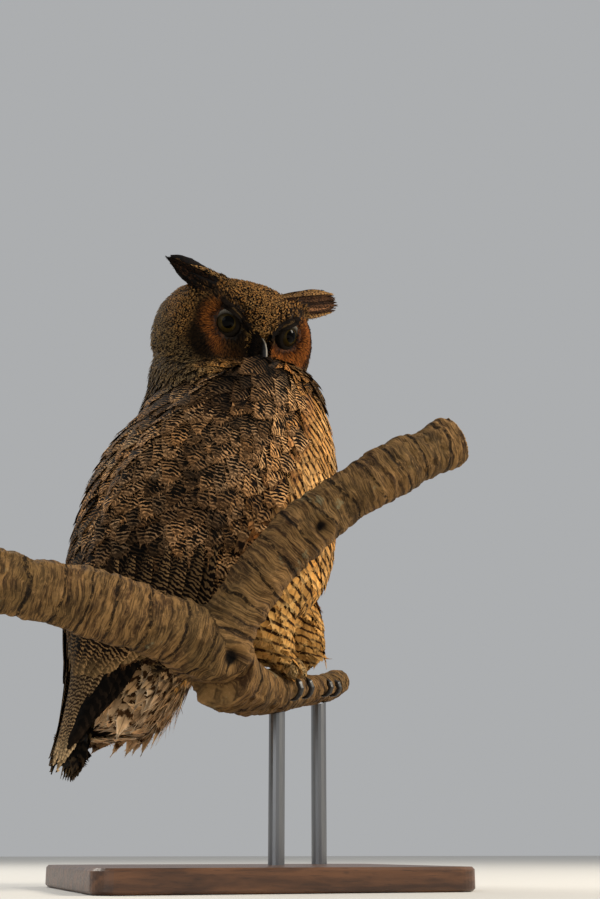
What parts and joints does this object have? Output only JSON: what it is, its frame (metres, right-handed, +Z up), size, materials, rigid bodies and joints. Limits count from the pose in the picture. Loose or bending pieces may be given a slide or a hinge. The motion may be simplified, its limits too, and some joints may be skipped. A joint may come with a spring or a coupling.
{
  "type": "great horned owl model",
  "caption": "Life-size still model of a great horned owl perched on a forked limb, head turned over its shoulder, on a flat display stand.",
  "frame": {"origin": "centre of the underside of the stand's base", "axes": "+Z up; the owl's trunk faces -Y, its right side is towards -X, and its face is turned towards -X"},
  "size_m": [0.2897, 0.3936, 0.5594],
  "materials": {
    "plumage_head": "fine soft plumage, mottled black-brown and buff, with rusty facial discs",
    "plumage_body": "soft contour feathers: brown mantle, buff breast with narrow dark bars",
    "plumage_wing": "contour and covert feathers, dark brown with wavy buff vermiculation",
    "plumage_flight": "flight and tail feathers, grey-brown with dark bars",
    "plumage_tuft": "long narrow feathers, black-brown with buff edges",
    "plumage_leg": "short dense plumage, buff with fine brown bars",
    "horn": "smooth dark horn with a soft gloss",
    "eye": "wet eye: dark olive-yellow iris round a black pupil",
    "bark": "rough grey-brown bark with ring-like ridges",
    "stand_wood": "dark stained hardwood with a satin varnish",
    "stand_steel": "dark blued steel rod"
  },
  "bodies": {
    "root": {"head": "plumage_head", "neck": "plumage_head", "trunk": "plumage_body", "tail": "plumage_flight", "wing_right": "plumage_wing", "wing_left": "plumage_wing", "ear_tuft_right": "plumage_tuft", "ear_tuft_left": "plumage_tuft", "leg_right": "plumage_leg", "leg_left": "plumage_leg", "foot_right": "plumage_leg", "foot_left": "plumage_leg", "bill": "horn", "eye_right": "eye", "eye_left": "eye", "perch": "bark", "stand_base": "stand_wood", "stand_rod_1": "stand_steel", "stand_rod_2": "stand_steel", "claw_right_1": "horn", "claw_right_2": "horn", "claw_right_3": "horn", "claw_right_4": "horn", "claw_left_1": "horn", "claw_left_2": "horn", "claw_left_3": "horn", "claw_left_4": "horn"}
  },
  "joints": []
}
